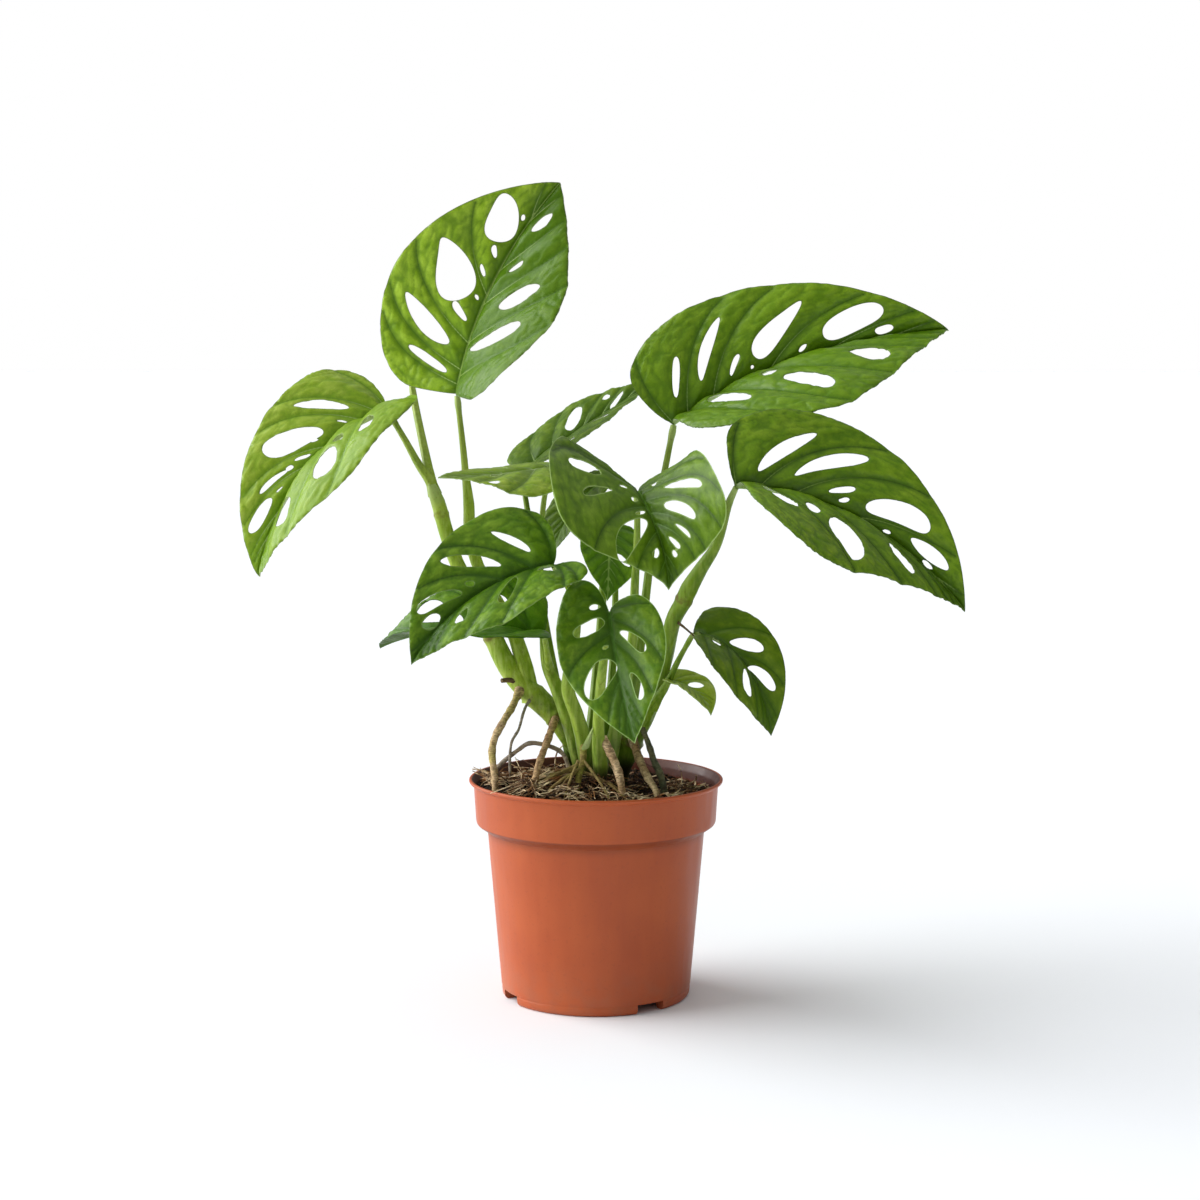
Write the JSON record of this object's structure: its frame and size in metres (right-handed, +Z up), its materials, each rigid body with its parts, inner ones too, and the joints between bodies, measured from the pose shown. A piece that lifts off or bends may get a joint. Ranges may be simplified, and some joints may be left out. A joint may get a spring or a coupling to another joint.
{
  "type": "potted monstera adansonii",
  "caption": "Young Swiss cheese plant with pierced leaves on long arching stalks and aerial roots, growing in a plain round plastic nursery pot.",
  "frame": {"origin": "middle of the pot's underside, on the surface that the pot stands on", "axes": "+Z up the pot; -Y is the plant's face; +X is to the right of someone who looks at that face"},
  "size_m": [0.3366, 0.1697, 0.3835],
  "materials": {
    "pot_plastic": "satin terracotta coloured polypropylene",
    "potting_mix": "dark moist peat, bark crumbs and coir fibre",
    "green_stem": "smooth green stalks, satin",
    "root_bark": "dull tan to brown root bark",
    "leaf_green": "mid green blade with paler and darker veins, satin",
    "leaf_dark": "dark green blade, satin",
    "leaf_pale": "yellow green young blade, satin"
  },
  "bodies": {
    "root": {"pot": "pot_plastic", "potting_mix": "potting_mix", "vine_left": "green_stem", "vine_front": "green_stem", "vine_back": "green_stem", "vine_right": "green_stem", "aerial_root_1": "root_bark", "aerial_root_2": "root_bark", "aerial_root_3": "root_bark", "aerial_root_4": "root_bark", "aerial_root_5": "root_bark", "aerial_root_6": "root_bark", "aerial_root_7": "root_bark", "aerial_root_8": "root_bark", "leaf_top_left": "leaf_green", "leaf_far_left": "leaf_pale", "leaf_upper_right": "leaf_green", "leaf_right": "leaf_green", "leaf_high_middle": "leaf_green", "leaf_centre": "leaf_green", "leaf_left": "leaf_dark", "leaf_front": "leaf_green", "leaf_low_right": "leaf_dark", "leaf_young": "leaf_pale", "leaf_hanging": "leaf_dark", "leaf_low_left": "leaf_dark", "leaf_level": "leaf_pale", "leaf_behind_centre": "leaf_dark"}
  },
  "joints": []
}
